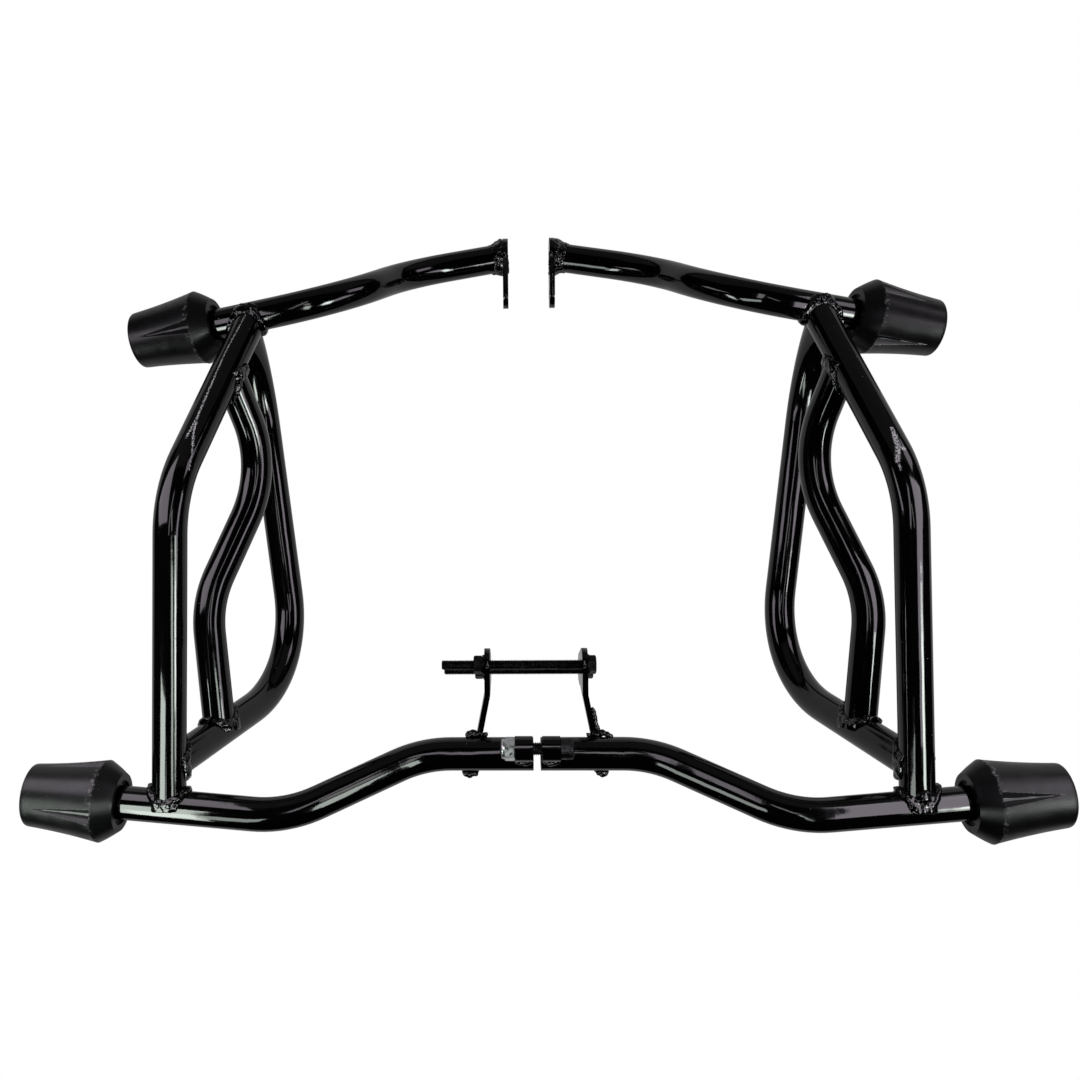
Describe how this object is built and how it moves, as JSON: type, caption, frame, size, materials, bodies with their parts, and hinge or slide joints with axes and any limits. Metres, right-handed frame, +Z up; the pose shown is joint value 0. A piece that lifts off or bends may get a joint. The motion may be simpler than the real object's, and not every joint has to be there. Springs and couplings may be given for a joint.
{
  "type": "motorcycle crash bars",
  "caption": "Welded tube crash bars for a motorcycle, in mirrored halves bolted together under the engine, with S-bent side braces, frame plates and flared sliders at the outer ends.",
  "frame": {"origin": "on the axis of the front engine bolt, in the plane of symmetry between the two engine tabs", "axes": "+X to the part's right half as seen from the front, along the engine bolts; +Y to the rear of the motorcycle; +Z up, as mounted"},
  "size_m": [0.7696, 0.272, 0.4794],
  "materials": {
    "gloss_black": "gloss powder coat",
    "slider_black": "satin moulded",
    "black_steel": "black oxide",
    "zinc_steel": "bright zinc plate"
  },
  "bodies": {
    "root": {"right_cross_tube": "gloss_black", "right_upper_tube": "gloss_black", "right_upright_tube": "gloss_black", "right_inner_tube": "gloss_black", "right_brace_tube": "gloss_black", "right_frame_plate": "gloss_black", "right_engine_tab": "gloss_black", "right_joint_bush": "gloss_black", "right_tube_welds": "gloss_black", "right_plate_weld": "gloss_black", "right_tab_weld": "gloss_black", "right_bush_weld": "gloss_black", "right_lower_slider": "slider_black", "right_upper_slider": "slider_black", "left_cross_tube": "gloss_black", "left_upper_tube": "gloss_black", "left_upright_tube": "gloss_black", "left_inner_tube": "gloss_black", "left_brace_tube": "gloss_black", "left_frame_plate": "gloss_black", "left_engine_tab": "gloss_black", "left_joint_bush": "gloss_black", "left_tube_welds": "gloss_black", "left_plate_weld": "gloss_black", "left_tab_weld": "gloss_black", "left_bush_weld": "gloss_black", "left_lower_slider": "slider_black", "left_upper_slider": "slider_black", "joint_bolt": "black_steel", "joint_nut": "zinc_steel", "engine_bolts": "black_steel", "engine_nuts": "black_steel", "engine_washers": "black_steel"}
  },
  "joints": []
}
